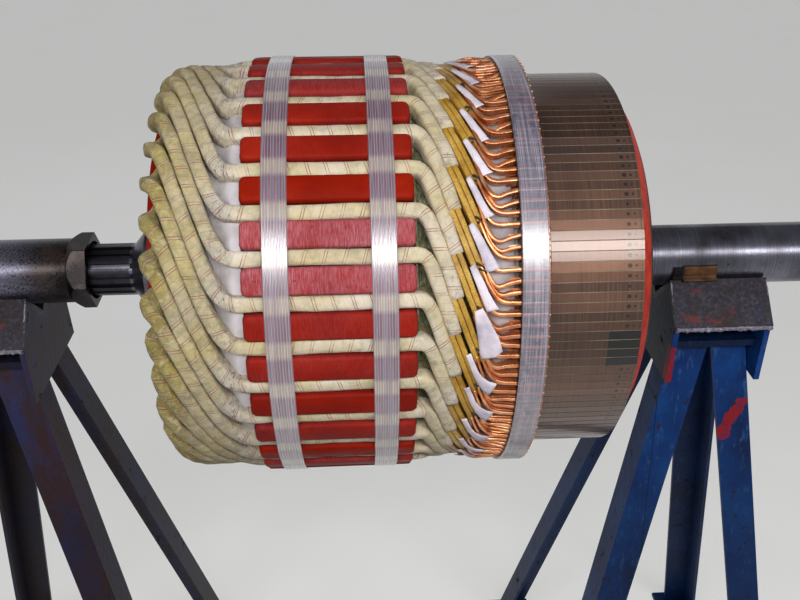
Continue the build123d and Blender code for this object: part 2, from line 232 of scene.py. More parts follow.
def red_enamel():
    paint = Paint("red_enamel", "#8e1c08", 0.55, Specular_IOR_Level=0.05)
    tone = paint.ramp(paint.noise(11.0, 3.0), [(0.3, "#701103"), (0.5, "#821604"), (0.7, "#921e08")])
    # The edge attribute darkens the sides of the teeth, most low down between the coils: painted shade
    colour = paint.mix(paint.attribute("edge"), tone, "#4d0d0a")
    streak = paint.noise(420.0, 3.0, 0.6, stretch=(0.12, 1.0, 1.0))
    # Pink haze and fine lamination lines on the teeth: partly real chalk, partly a painted sheen
    chalk = paint.attribute("chalk")
    sheets = paint.noise(90.0, 3.0, 0.6, stretch=(11.0, 1.0, 1.0))
    patchy = paint.ramp(paint.noise(17.0, 5.0, 0.7), [(0.36, 0.3), (0.6, 1.0)])
    fine = paint.ramp(sheets, [(0.4, 0.15), (0.64, 0.85)]) * patchy
    colour = paint.mix(chalk * 0.4, colour, "#ab4650")
    colour = paint.mix(fine * chalk, colour, "#c98f9c")
    colour = paint.patches(colour, "#5c1410", 0.66, 0.72, 0.5, 240.0, 2.0)
    rough = paint.ramp(paint.noise(34.0, 3.0), [(0.3, 0.4), (0.7, 0.56)])
    lumps = paint.noise(300.0, 2.0) * 0.35 + paint.noise(48.0, 3.0) + streak * 0.4 + sheets * (chalk * 0.5)
    return paint.relief(lumps, 0.0016, 0.55, Base_Color=colour, Roughness=rough)


def ring_enamel():
    paint = Paint("ring_enamel", "#a8240d", 0.5, Specular_IOR_Level=0.2)
    tone = paint.ramp(paint.noise(60.0, 4.0), [(0.3, "#8e1a08"), (0.5, "#b0270e"), (0.7, "#c43717")])
    return paint.relief(paint.noise(150.0, 4.0), 0.0015, 0.8, Base_Color=tone)


def sheet_white(name, light, dark, scale=30.0):
    paint = Paint(name, light, 0.62, Specular_IOR_Level=0.25)
    tone = paint.ramp(paint.noise(scale, 4.0), [(0.3, dark), (0.55, light), (0.8, light)])
    fibre = paint.noise(700.0, 2.0, stretch=(1.0, 0.25, 0.25))
    tone = paint.mix(paint.rise(fibre, 0.55, 0.8, 0.35), tone, dark)
    return paint.relief(fibre * 0.4 + paint.noise(60.0, 3.0), 0.0008, 0.5, Base_Color=tone)


def green_fibre():
    paint = Paint("green_fibre", "#6d705a", 0.9, Specular_IOR_Level=0.1)
    strands = paint.noise(380.0, 3.0, 0.6, 0.6, stretch=(1.0, 0.3, 0.3))
    tone = paint.ramp(strands, [(0.3, "#3b3f2c"), (0.5, "#6f7257"), (0.72, "#a8a88c")])
    return paint.relief(strands, 0.0015, 0.9, Base_Color=tone)


def amber_sleeving():
    paint = Paint("amber_sleeving", "#b98427", 0.42, Specular_IOR_Level=0.35, Coat_Weight=0.15,
                  Coat_Roughness=0.3)
    u, v, _ = paint.split(paint.uv())
    tone = paint.ramp(paint.noise(32.0, 3.0), [(0.3, "#936a1c"), (0.55, "#bf963a"), (0.78, "#dabb70")])
    braid = paint.math("SINE", (u + v) * 4200.0) * paint.math("SINE", (u - v) * 4200.0)
    grain = paint.noise(650.0, 2.0)
    tone = paint.mix(paint.rise(grain, 0.48, 0.7, 0.7), tone, "#6a430f")
    return paint.relief(braid * 0.25 + grain, 0.0004, 0.7, Base_Color=tone)


def bare_copper():
    paint = Paint("bare_copper", "#c9764a", 0.3, 0.75, Coat_Weight=0.6, Coat_Roughness=0.12)
    tone = paint.ramp(paint.noise(65.0, 4.0), [(0.25, "#a2562c"), (0.5, "#d6844c"), (0.75, "#f6bf8a")])
    # Darker grooves along the fluted leads: painted shade
    tone = paint.mix(paint.attribute("groove_shade"), tone, "#3d1a0a")
    tone = paint.patches(tone, "#d9977c", 0.4, 0.7, 0.35, 22.0, 2.0)
    rough = paint.ramp(paint.noise(120.0, 3.0), [(0.3, 0.24), (0.7, 0.38)])
    return paint.relief(paint.noise(90.0, 2.0), 0.0005, 0.2, Base_Color=tone, Roughness=rough)


def bar_copper():
    paint = Paint("bar_copper", "#7a5038", 0.42, 0.75, Coat_Weight=0.65, Coat_Roughness=0.15, Coat_IOR=1.8)
    riser_start, riser_end, dark_from, outer_line = 0.1864, 0.2185, 0.2925, 0.327
    step, along = bar_step(paint)
    across = (paint.math("FRACT", step) - 0.5) * (radians(BAR_PITCH) * BAR_RADIUS / 1000)
    own = paint.add("TexWhiteNoise", "Value", [("noise_dimensions", "1D")], W=paint.math("FLOOR", step))
    base = paint.ramp(own, [(0.0, "#3d2416"), (0.5, "#513322"), (1.0, "#684736")])
    grooves = paint.noise(14.0, 3.0, 0.6, stretch=(60.0, 1.0, 1.0))
    base = paint.mix(paint.rise(grooves, 0.4, 0.75, 0.2), base, "#a87c66")
    base = paint.patches(base, "#402618", 0.4, 0.7, 0.5, 12.0, 3.0)
    # Two rows of dark dots round the bars, and a line at their outer end
    for station, size in ((0.3128, 0.0018), (0.3203, 0.0008)):
        off = along - station
        far = paint.math("SQRT", off * off + across * across)
        base = paint.mix((far < own * 0.0008 + size) * 0.9, base, "#120c0a")
    base = paint.mix((abs(along - outer_line) < 0.0006) * 0.6, base, "#2a1a14")
    # The risers are paler, their inner faces are darkened as painted shade, and four bars are blackened
    base = paint.mix((1.0 - (along > riser_end)) * 0.6, base, "#b0745a")
    base = paint.mix((along < riser_start) * 0.9, base, "#17100d")
    four = (step < 0.0) * (step > -4.0)
    base = paint.mix(four * (along > dark_from), base, "#08060b")
    rough = paint.ramp(grooves, [(0.3, 0.36), (0.7, 0.46)])
    return paint.relief(grooves, 0.0004, 0.25, Base_Color=base, Roughness=rough)


def core_band():
    paint = Paint("glass_band", "#a9a4b4", 0.34, Specular_IOR_Level=1.0, Coat_Weight=1.0,
                  Coat_Roughness=0.26, Coat_IOR=2.4)
    over, strand = paint.attribute("over"), paint.attribute("strand")
    wander = paint.noise(1.0, 2.0, stretch=(220.0, 5.0, 5.0))
    gap = paint.mix(over, "#63323a", "#a2917f")
    top = paint.mix(over, "#90829a", "#c4bab2")
    colour = paint.mix(strand, gap, top)
    colour = paint.mix(paint.rise(wander, 0.42, 0.7, 0.6), colour, "#7d6b80")
    colour = paint.patches(colour, "#c9bfc8", 0.5, 0.7, 0.45, 1.0, 2.0, stretch=(700.0, 8.0, 8.0))
    return paint.relief(wander + strand, 0.0008, 0.8, Base_Color=colour)


def riser_tape():
    paint = Paint("riser_tape", "#6e6270", 0.35, Coat_Weight=1.0, Coat_Roughness=0.26, Coat_IOR=2.3)
    step = paint.math("FRACT", bar_step(paint)[0])
    lead = paint.ramp(step, [(0.0, 0.0), (0.3, 0.0), (0.42, 1.0), (0.58, 1.0), (0.7, 0.0), (1.0, 0.0)])
    patch = paint.ramp(paint.noise(26.0, 2.0), [(0.4, 0.1), (0.62, 0.9)])
    warp = paint.noise(1.0, 2.0, stretch=(900.0, 10.0, 10.0))
    weft = paint.noise(1.0, 2.0, stretch=(30.0, 420.0, 420.0))
    base = paint.ramp(warp, [(0.32, "#37374a"), (0.5, "#625a69"), (0.66, "#948c9a")])
    base = paint.mix(paint.rise(weft, 0.5, 0.75, 0.4), base, "#a79da6")
    base = paint.patches(base, "#2f3a52", 0.55, 0.66, 0.7, 1.0, 3.0, stretch=(120.0, 60.0, 60.0))
    base = paint.mix(lead * (patch * 0.6), base, "#a8747a")
    return paint.relief(warp + lead * 0.8, 0.0009, 0.7, Base_Color=base)


def turned_steel():
    paint = Paint("shaft_steel", "#2b2b2d", 0.33, 0.9)
    grooves = paint.noise(1.0, 3.0, 0.6, stretch=(900.0, 4.0, 4.0))
    oil = paint.rise(paint.noise(14.0, 4.0), 0.4, 0.66, 0.75)
    tone = paint.ramp(grooves, [(0.3, "#54545f"), (0.7, "#868694")])
    tone = paint.mix(oil, tone, "#1d1a17")
    tone = paint.mix((paint.split(paint.place)[0] < SPLINE_START) * 0.72, tone, "#0d0b0f")
    tone = paint.patches(tone, "#15110f", 0.69, 0.73, 0.8, 150.0, 2.0)
    rough = paint.ramp(oil, [(0.0, 0.25), (1.0, 0.37)])
    return paint.relief(grooves, 0.0003, 0.35, Base_Color=tone, Roughness=rough)


def rusty_steel():
    paint = Paint("rusty_steel", "#4a403b", 0.45, 0.8)
    grain = paint.noise(420.0, 4.0, 0.7)
    along = paint.split(paint.place)[0]
    tone = paint.ramp(grain, [(0.3, "#1f1c1e"), (0.5, "#353134"), (0.7, "#646068")])
    # A bluish silver band near the left end of the tube, with less rust under it, is a painted highlight
    painted_highlight = paint.ramp(along * -5.0 - 2.1, [(0.0, 0.0), (0.33, 0.75), (0.5, 0.4), (1.0, 0.15)])
    highlight_silver = paint.ramp(grain, [(0.38, "#2c2c34"), (0.47, "#84849a"), (0.7, "#a4a4bc")])
    tone = paint.mix(painted_highlight, tone, highlight_silver)
    tone = paint.mix(paint.rise(along * 20.0 + 8.3, 0.0, 0.4, 0.85), tone, "#120d0b")
    rust = paint.rise(paint.noise(20.0, 4.0) * (grain + 0.45), 0.5, 0.66, 0.8) * (1.0 - painted_highlight)
    tone = paint.mix(rust, tone, "#2f201a")
    metal = paint.ramp(rust, [(0.0, 0.85), (1.0, 0.2)])
    rough = paint.ramp(grain, [(0.3, 0.24), (0.7, 0.42)])
    return paint.relief(grain, 0.0004, 0.4, Base_Color=tone, Metallic=metal, Roughness=rough)


def dark_iron():
    paint = Paint("dark_steel", "#2c2a2a", 0.6, 0.5)
    tone = paint.ramp(paint.noise(45.0, 4.0), [(0.3, "#211f1f"), (0.7, "#433d3a")])
    return paint.relief(paint.noise(160.0, 3.0), 0.0008, 0.5, Base_Color=tone)


def red_smear(paint, rough_edge):
    """A diagonal smear of red paint on the front of one leg."""
    x, y, z = paint.split(paint.place)
    across = (rough_edge * 0.07 + abs(x * -2.1 + z + 0.403)) < 0.06
    high = (rough_edge * 0.03 + abs(z - 0.765)) < 0.05
    return across * high * (y < -0.05) * (x > 0.5)


def red_edge(paint, rough_edge):
    """The red lower corner of the end plate beside the armature."""
    x, y, z = paint.split(paint.place)
    low = abs(rough_edge * 0.02 + z - 0.876) < 0.035
    inner = abs(x - 0.4455) < 0.005
    return low * inner * (y < -0.078)


def blue_paint():
    paint = Paint("blue_paint", "#123c66", 0.5, Specular_IOR_Level=0.15)
    tone = paint.ramp(paint.noise(9.0, 4.0), [(0.3, "#0a234f"), (0.5, "#0f3672"), (0.7, "#174b8c")])
    side, depth, height = paint.split(paint.place)
    left = side < 0.0
    chips = paint.noise(42.0, 6.0, 0.68, 0.4)
    scratch = paint.rise(paint.noise(130.0, 5.0, 0.7, stretch=(1.0, 1.0, 0.25)), 0.56, 0.66, 0.6)
    tone = paint.mix(scratch * (1.0 - left), tone, "#3a5f93")
    rust = paint.ramp(paint.noise(190.0, 5.0, 0.7), [(0.3, "#160f0d"), (0.55, "#33201a"), (0.8, "#54362a")])
    bare = paint.rise(chips, 0.62, 0.67, 1.0)
    tone = paint.mix(bare, tone, rust)
    worn = paint.ramp(paint.noise(13.0, 7.0, 0.7, stretch=(1.0, 1.0, 0.4)), [(0.3, 0.35), (0.56, 1.0)])
    old = paint.mix(paint.noise(5.0, 3.0), "#2a2a36", "#4a271c")
    tone = paint.mix(left * worn, tone, paint.mix(0.35, old, rust))
    # Darker towards the floor: painted shade
    lower_shade = paint.ramp(height, [(0.0, 0.6), (0.6, 0.5), (0.84, 0.05), (1.0, 0.0)])
    tone = paint.mix(lower_shade, tone, "#070d1c")
    under = (height > 0.8865) * (height < 0.92)
    shaded = (abs(depth) < 0.0785) * (abs(abs(side) - 0.51) < 0.0602)
    tone = paint.mix(under * shaded * 0.75, tone, "#03060e")
    # The face of the right stand's end plate that faces the armature is painted nearly black: painted shade
    tone = paint.mix((abs(side - 0.4415) < 0.0006) * 0.8, tone, "#030509")
    red = paint.math("ADD", red_smear(paint, chips), red_edge(paint, chips), clamp=True)
    blotch = paint.ramp(paint.noise(75.0, 4.0, 0.7), [(0.34, 0.35), (0.56, 0.95)])
    tone = paint.mix(red * blotch, tone, "#8f1a0c")
    rough = paint.ramp(bare, [(0.0, 0.45), (1.0, 0.8)])
    return paint.relief(paint.noise(130.0, 3.0) - bare * 0.8, 0.0009, 0.6, Base_Color=tone, Roughness=rough)


def bare_plate():
    paint = Paint("bare_plate", "#4c4a55", 0.45, 0.6)
    grain = paint.noise(190.0, 5.0, 0.68)
    tone = paint.ramp(grain, [(0.3, "#18161c"), (0.52, "#2a2730"), (0.7, "#484452")])
    tone = paint.patches(tone, "#291d1a", 0.5, 0.66, 0.8, 22.0, 4.0)
    tone = paint.patches(tone, "#22304a", 0.58, 0.7, 0.5, 30.0, 3.0)
    tone = paint.patches(tone, "#5e2420", 0.63, 0.69, 0.7, 41.0, 3.0)
    rough = paint.ramp(grain, [(0.3, 0.35), (0.7, 0.6)])
    return paint.relief(grain, 0.0009, 0.5, Base_Color=tone, Roughness=rough)


def plain(name, colour, second, rough, scale=80.0, metal=0.0):
    paint = Paint(name, colour, rough, metal, Specular_IOR_Level=0.2)
    tone = paint.ramp(paint.noise(scale, 4.0), [(0.35, colour), (0.7, second)])
    return paint.relief(paint.noise(scale * 3, 3.0), 0.0006, 0.5, Base_Color=tone)


TAPE = cotton_tape()
RED = red_enamel()
RING_RED = ring_enamel()
WHITE = sheet_white("white_sheet", "#ded5e0", "#aea6b6")
SHELF = sheet_white("shelf_sheet", "#cac5ca", "#a8a3a4")
PALE_GREY = sheet_white("backing_sheet", "#b3adb0", "#857e82")
FIBRE = green_fibre()
AMBER = amber_sleeving()
COPPER = bare_copper()
BARS = bar_copper()
BAND = core_band()
RISER_TAPE = riser_tape()
STEEL = turned_steel()
RUSTY = rusty_steel()
IRON = dark_iron()
BLUE = blue_paint()
PLATE = bare_plate()
MICA = plain("mica", "#7f735e", "#574c3e", 0.6, 20.0)
CORD = plain("tie_cord", "#2b2725", "#4a433d", 0.8, 300.0)
PACKING = plain("packing_board", "#3a2618", "#6d4a2e", 0.7, 60.0)
# An almost black board finish: painted shade
SHADED_BOARD = plain("shaded_board", "#0b0908", "#171211", 0.8, 60.0)
NECK = plain("riser_neck", "#4a3d37", "#2f2622", 0.7, 150.0)
BOLT = plain("bolt_steel", "#6b6560", "#8d867f", 0.4, 90.0, 0.6)
CUT = plain("cut_edge", "#8f8b99", "#4c4856", 0.5, 200.0, 0.4)


# Geometry

def at(x, angle, radius):
    """A point on the armature, in metres."""
    turn = np.radians(angle)
    return np.stack([np.asarray(x) * 0.001, -np.asarray(radius) * np.cos(turn) * 0.001,
                     (AXIS + np.asarray(radius) * np.sin(turn)) * 0.001], -1)


class Mesh:
    """Gathers parts of one piece and writes them as one object."""

    def __init__(self):
        self.points, self.faces, self.uvs, self.values, self.count = [], [], [], {}, 0

    def add(self, points, faces, uvs=None, **values):
        points = np.asarray(points, float).reshape(-1, 3)
        self.points.append(points)
        self.faces += [[int(i) + self.count for i in face] for face in faces]
        for corners in uvs or [[(0.0, 0.0)] * len(face) for face in faces]:
            self.uvs += corners
        for key, value in values.items():
            block = np.broadcast_to(np.asarray(value, float), (len(points),))
            self.values.setdefault(key, []).append(block)
        self.count += len(points)

    def write(self, name, material, slot, body="armature", smooth=True, replaces=()):
        mesh = bpy.data.meshes.new(name)
        mesh.from_pydata(np.concatenate(self.points).tolist(), [], self.faces)
        layer = mesh.uv_layers.new(name="path")
        layer.data.foreach_set("uv", np.asarray(self.uvs, float).ravel())
        for key, blocks in self.values.items():
            attribute = mesh.attributes.new(key, "FLOAT", "POINT")
            attribute.data.foreach_set("value", np.concatenate(blocks))
        mesh.polygons.foreach_set("use_smooth", [smooth] * len(mesh.polygons))
        mesh.materials.append(material)
        mesh.update()
        piece = bpy.data.objects.new(name, mesh)
        bpy.context.scene.collection.objects.link(piece)
        if replaces:
            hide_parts(*replaces)
        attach(piece, body)


def smooth_line(points, step):
    """Points about a step apart on a smooth line through the given ones, and how far along each lies."""
    points = np.asarray(points, float)
    padded = np.vstack([2 * points[0] - points[1], points, 2 * points[-1] - points[-2]])
    line = []
    for i in range(len(points) - 1):
        a, b, c, d = padded[i:i + 4]
        for t in np.linspace(0, 1, 12, endpoint=False):
            line.append(0.5 * (2 * b + (c - a) * t + (2 * a - 5 * b + 4 * c - d) * t * t
                               + (3 * b - a - 3 * c + d) * t ** 3))
    line.append(points[-1])
    line = np.array(line)
    length = lengths_along(at(*line.T))
    count = max(2, int(round(length[-1] * 1000 / step)) + 1)
    goal = np.linspace(0, length[-1], count)
    return np.stack([np.interp(goal, length, line[:, k]) for k in range(line.shape[1])], -1), goal


def rounded(half_wide, half_deep, corner):
    """The outline of a rounded bar, clockwise from the middle of its top."""
    wide, deep = half_wide - corner, half_deep - corner
    shape = [(0.0, half_deep)]
    for cx, cy, start, flat in ((wide, deep, 90, [(half_wide, 0.0)]), (wide, -deep, 0, [(0.0, -half_deep)]),
                                (-wide, -deep, -90, [(-half_wide, 0.0)]), (-wide, deep, -180, [])):
        for k in range(3):
            angle = radians(start - 45 * k)
            shape.append((cx + corner * cos(angle), cy + corner * sin(angle)))
        shape += flat
    return np.array(shape)


def lengths_along(points):
    """How far each point lies along its line."""
    return np.concatenate([[0], np.cumsum(np.linalg.norm(np.diff(points, axis=0), axis=1))])


def ring_faces(rings, size):
    """The faces that join rings of points, each ring to the next."""
    return [(i * size + j, i * size + (j + 1) % size, (i + 1) * size + (j + 1) % size, (i + 1) * size + j)
            for i in range(rings - 1) for j in range(size)]


def sweep(mesh, centres, ups, outline, wide=1.0, deep=1.0, start=0.0, **values):
    """Sweep a bar with closed ends along points with given upward directions."""
    centres, ups = np.asarray(centres), np.asarray(ups)
    tangent = np.gradient(centres, axis=0)
    tangent /= np.linalg.norm(tangent, axis=1)[:, None]
    side = np.cross(tangent, ups)
    side /= np.linalg.norm(side, axis=1)[:, None]
    up = np.cross(side, tangent)
    count, size = len(centres), len(outline)
    wide = np.broadcast_to(wide, (count,))[:, None, None]
    deep = np.broadcast_to(deep, (count,))[:, None, None]
    points = (centres[:, None, :] + side[:, None, :] * outline[None, :, 0:1] * wide * 0.001
              + up[:, None, :] * outline[None, :, 1:2] * deep * 0.001)
    lengths = lengths_along(centres) + start
    around = lengths_along(np.vstack([outline, outline[:1]])) * 0.001
    uvs = [[(lengths[i], around[j]), (lengths[i], around[j + 1]),
            (lengths[i + 1], around[j + 1]), (lengths[i + 1], around[j])]
           for i in range(count - 1) for j in range(size)]
    uvs += [[(lengths[end] + 0.004, 0.0)] * size for end in (0, -1)]
    ends = [tuple(range(size))[::-1], tuple(range((count - 1) * size, count * size))]
    spread = {key: np.repeat(np.broadcast_to(value, (count,)), size) for key, value in values.items()}
    mesh.add(points, ring_faces(count, size) + ends, uvs, **spread)


def lathe(mesh, profile, count=BAR_COUNT, **values):
    """Revolve (x, radius) points round the shaft."""
    size = len(profile)
    profile = np.asarray(profile, float)
    angles = np.arange(count) * 360 / count
    points = np.array([at(profile[:, 0], a, profile[:, 1]) for a in angles])
    length = lengths_along(profile) * 0.001
    faces, uvs = [], []
    for i in range(count):
        k = (i + 1) % count
        u, w = (radians(angle) * CORE_RADIUS / 1000 for angle in (angles[i], angles[i] + 360 / count))
        for j in range(size - 1):
            faces.append((i * size + j, i * size + j + 1, k * size + j + 1, k * size + j))
            uvs.append([(u, length[j]), (u, length[j + 1]), (w, length[j + 1]), (w, length[j])])
    mesh.add(points, faces, uvs, **values)


def turned(name, material, slot, profile, count=BAR_COUNT, **options):
    """One piece that is a single turned shape."""
    mesh = Mesh()
    lathe(mesh, profile, count)
    mesh.write(name, material, slot, **options)


def radial(angles):
    """Directions straight out from the shaft."""
    turn = np.radians(angles)
    return np.stack([np.zeros_like(turn), -np.cos(turn), np.sin(turn)], -1)


def beside(x, up, height, side):
    """A point at a height along the direction up from the shaft, and a distance to its side."""
    across = np.cross((1.0, 0.0, 0.0), up)
    return (np.array([x, 0, AXIS]) + up * height + across * side) * 0.001


def slots(seed):
    """Each slot's number and angle, and random numbers of its own."""
    for number in range(SLOTS):
        yield number, FIRST_SLOT + number * PITCH, random.Random(seed + number)


# The taped coils: each runs from its cut tape, through its slot, round its nose and back
FRONT = [(114.2, -20.1, 258.3), (107.3, -15.2, 258.6), (98.7, -9.8, 258.8), (90.7, -4.8, 259.2),
         (86.0, -2.3, 260.3), (81.0, -0.8, 261.8), (75.5, -0.1, 263.2), (69.0, 0.0, 263.6)]
REAR = [(-118.0, 0.0, 263.6), (-128.0, 0.1, 263.2), (-137.0, 0.6, 261.6), (-145.0, 2.0, 259.8),
        (-152.0, 4.3, 258.9), (-158.5, 7.3, 258.6), (-164.5, 10.6, 258.6), (-178.8, 19.0, 258.6),
        (-190.0, 25.8, 258.6), (-200.0, 31.8, 258.6), (-207.0, 35.4, 258.2), (-214.0, 38.6, 256.4),
        (-220.0, 40.7, 252.4), (-223.6, 41.8, 248.2)]
TURN_BACK = 4 * PITCH
MIDDLE = (UPPER + LOWER) / 2
APEX = (-224.6, TURN_BACK, MIDDLE)
END_SLANT, BEND_X, NOSE_START, HALF_FOLD = 0.71, -140.0, -195.0, 4.6

coils = Mesh()
bar = rounded(8.0, 12.1, 4.6)
girth = lengths_along(np.vstack([bar, bar[:1]]))[-1] * 0.001
for number, slot, rng in slots(100):
    # The line of the coil, a little out of true at its cut end, on its arm and at its nose
    shift = rng.uniform(-1.6, 1.6)
    slide = rng.uniform(-0.4, 0.4)
    (end_x, end_a, end_r), taped = FRONT[0], FRONT[1:]
    upper = [(end_x + shift, end_a - END_SLANT * shift, end_r)] + taped
    upper += [(x, 0.0, UPPER_SLOT) for x in (30.0, -25.0, -80.0)]
    upper += [(x, a + slide * min(1, abs(a) / 10), r) for x, a, r in REAR] + [APEX]
    lower = [(x, 2 * TURN_BACK - a, 2 * MIDDLE - r) for x, a, r in REAR[::-1]]
    nose_shift = [rng.uniform(-0.35, 0.35), rng.uniform(-1.4, 1.0)]
    line, length = smooth_line(upper + lower, 5.3)
    near_nose = np.clip((NOSE_START - line[:, 0]) / 25.0, 0, 1)
    line[:, 1] += near_nose * nose_shift[0]
    line[:, 0] += near_nose * nose_shift[1]
    # Slight waves, as hand-wound tape has
    length = length * 1000
    line[:, 2] += 0.45 * np.sin(length / 17.0 + number) + 0.25 * np.sin(length / 6.1 + 1.7 * number)
    line[:, 1] += 0.10 * np.sin(length / 23.0 + 2.3 * number)
    x, a, r = line.T
    # The nose turns the coil over, from the upper layer into the lower one
    fold = np.clip((a - TURN_BACK) / (2 * HALF_FOLD) + 0.5, 0, 1)
    fold = fold * fold * (3 - 2 * fold)
    ups = radial(a + slot) * np.cos(pi * fold)[:, None]
    ups[:, 0] -= np.sin(pi * fold)
    # Width and depth of the bar: it fills its slot, and is thicker at its nose and where the arm bends
    in_slot = np.clip((x - CORE[0] + 12) / 14, 0, 1) * np.clip((CORE[1] + 13 - x) / 12, 0, 1)
    bend = np.exp(-((x - BEND_X) / 16.0) ** 2) * (a < TURN_BACK)
    wide = 1.0 + 0.11 * in_slot + 0.06 * near_nose + 0.08 * bend + 0.025 * np.sin(length / 7.0 + number * 2.1)
    deep = 1.0 + 0.03 * np.sin(length / 9.0 + number) * (1 - in_slot) - 0.10 * np.sin(pi * fold)
    tail = np.exp(-((x - 113 - shift) / 9.0) ** 2) * (a < 0)
    # Age of the tape: fresh in the slot and on the front arm, oldest on the nose and the lower layer
    age = np.clip(0.1 + 0.8 * (a > TURN_BACK) + 0.6 * near_nose + 0.48 * (1 - in_slot), 0, 1)
    age = np.where(in_slot > 0.5, 0.03, age)
    age = np.where((x > 60) & (a < 0.5), 0.12 * (1 - in_slot), age) + rng.uniform(-0.08, 0.1)
    lean = rng.choice((1.0, 1.0, -1.0)) * TAPE_PITCH / girth
    start = rng.uniform(0, TAPE_PITCH)
    crumpled = np.clip(bend * rng.uniform(0.6, 1.1) + 0.45 * tail, 0, 1)
    sweep(coils, at(x, a + slot, r), ups, bar, wide, deep, start, age=age, wrap=crumpled, lean=lean,
          shade=0.16 * near_nose)
    # The lower side of the same coil, through its slot and out under the front arms
    lower_front = [(-118.0, 2 * TURN_BACK, LOWER_SLOT), (60.0, 2 * TURN_BACK, LOWER_SLOT)]
    lower_front += [(x, 2 * TURN_BACK - a, r + LOWER - UPPER) for x, a, r in FRONT[:7][::-1]]
    lower_front.append((147.0, 2 * TURN_BACK + 39.5, LOWER))
    x, a, r = smooth_line(lower_front, 11.0)[0].T
    sweep(coils, at(x, a + slot, r), radial(a + slot), bar, start=rng.uniform(0, TAPE_PITCH),
          age=0.8, wrap=0.0, lean=lean, shade=np.clip((x - 74) / 14, 0, 0.8))
coils.write("taped_coils", TAPE, "cotton_tape", replaces=(
    "slot_coils", "rear_upper_arms", "rear_lower_arms", "rear_noses", "front_upper_arms", "front_lower_arms"))

# The red teeth with their rounded ends
teeth = Mesh()
HALF_SLOT = 9.4
TOOTH_RINGS = ((216.0, 0.0), (268.0, 0.0), (273.5, 0.15), (276.8, 0.9), (279.0, 2.4), (279.9, 4.6))


def tooth(mesh, middle, chalk):
    """A tooth between two slots, from rings of (radius, inset)."""
    half_pitch = radians(PITCH / 2)
    up = radial(middle)
    points, edge = [], []
    for n, (height, inset) in enumerate(TOOTH_RINGS):
        half = height * tan(half_pitch) - HALF_SLOT / cos(half_pitch) - inset
        left, right = CORE[0] + inset * 0.8, CORE[1] - inset * 0.8
        corner = min(2.0 if n == 0 else 6.5, half - 0.5)
        for cx, cz, start in ((right - corner, half - corner, 0), (left + corner, half - corner, 90),
                              (left + corner, corner - half, 180), (right - corner, corner - half, 270)):
            for k in range(6):
                turn = radians(start + 18 * k)
                points.append(beside(cx + corner * cos(turn), up, height, cz + corner * sin(turn)))
                # Painted shade on the sides, darkest on the lowest rings
                edge.append(max(0.0, 0.85 - 0.22 * n))
    size, top = len(points) // len(TOOTH_RINGS), len(points)
    points.append(np.mean(points[-size:], axis=0) + up * 0.0003)
    edge.append(0.0)
    faces = ring_faces(len(TOOTH_RINGS), size)
    faces += [(top - size + j, top - size + (j + 1) % size, top) for j in range(size)]
    mesh.add(points, faces, edge=edge, chalk=chalk)


for number, slot, rng in slots(300):
    middle = slot + PITCH / 2
    # Teeth from 20 to 36 degrees get a strong pink haze, a painted sheen where the lamp's highlight falls;
    # the others a little real chalk at random
    chalk = 0.62 if 20 < middle < 36 else rng.choice((0.0, 0.03, 0.08, 0.15))
    tooth(teeth, middle, chalk)
# The ends of the core below the teeth are darkened as painted shade
lathe(teeth, [(CORE[0], 150), (CORE[0], 217), (CORE[0] + 2, 221), (CORE[1] - 2, 221), (CORE[1], 217),
              (CORE[1], 150)], edge=0.6, chalk=0.1)
teeth.write("core_teeth", RED, "red_enamel", replaces=("core_stack",))

# Sheets of insulation between the two layers of coil ends
turned("rear_layer_sheet", SHELF, "white_insulation", [
    (-121.4, 261.6), (-130.4, 261.2), (-134, 259.0), (-140, 252.6), (-147, 247.6), (-156, 246.2),
    (-166, 245.9), (-166, 244.7), (-122, 244.7)])
turned("front_layer_sheet", FIBRE, "grey_insulation", [
    (73.5, 245.9), (108, 245.9), (108, 244.7), (73.5, 244.7)])
turned("lead_layer_sheet", PALE_GREY, "white_insulation", [
    (150, 256.6), (166, 257.6), (180.5, 258.6), (180.5, 257.6), (150, 255.6)])

# Amber sleeves, two to a coil end, and their ties
sleeves = Mesh()
ties = Mesh()
strap = rounded(3.1, 8.6, 1.1)
thread = rounded(1.7, 1.1, 1.0)
LEFT_SLEEVE = [(105.6, -17.6), (111.0, -21.0), (119.6, -26.0), (127.9, -31.0), (134.0, -34.4),
               (139.8, -37.8)]
RIGHT_SLEEVE = [(112.8, -17.6), (118.2, -21.0), (126.8, -26.0), (135.0, -31.0), (141.5, -34.6),
                (144.0, -36.0)]
TIE = [(-3.6, 0.55, 262.0), (-3.7, 0.55, 267.0), (-2.9, 0.4, 268.9), (0.0, 0.0, 269.2), (2.9, -0.4, 268.9),
       (3.7, -0.55, 267.0), (3.6, -0.55, 262.0)]
for number, slot, rng in slots(500):
    slide = rng.uniform(-0.3, 0.3)
    for path in (LEFT_SLEEVE, RIGHT_SLEEVE):
        points = [(x, a + slide, 259.4) for x, a in path]
        if path is RIGHT_SLEEVE and rng.random() < 0.6:
            points.append((146.5, -37.6 + slide, 259.4))
        x, a, r = smooth_line(points, 4.0)[0].T
        sweep(sleeves, at(x, a + slot, r), radial(a + slot), strap, start=rng.uniform(0, 0.1))
    for turn in (0.0, 1.25):
        middle, angle = 141.2 + 2.2 * turn, slot + slide - 34.4 - turn
        line = [at(middle + x, angle + a, r) for x, a, r in TIE]
        sweep(ties, line, np.tile((1.0, 0.3, 0.0), (len(line), 1)), thread)
sleeves.write("amber_sleeves", AMBER, "amber_sleeving", replaces=("lead_sleeves",))
ties.write("sleeve_ties", CORD, "dark_steel")

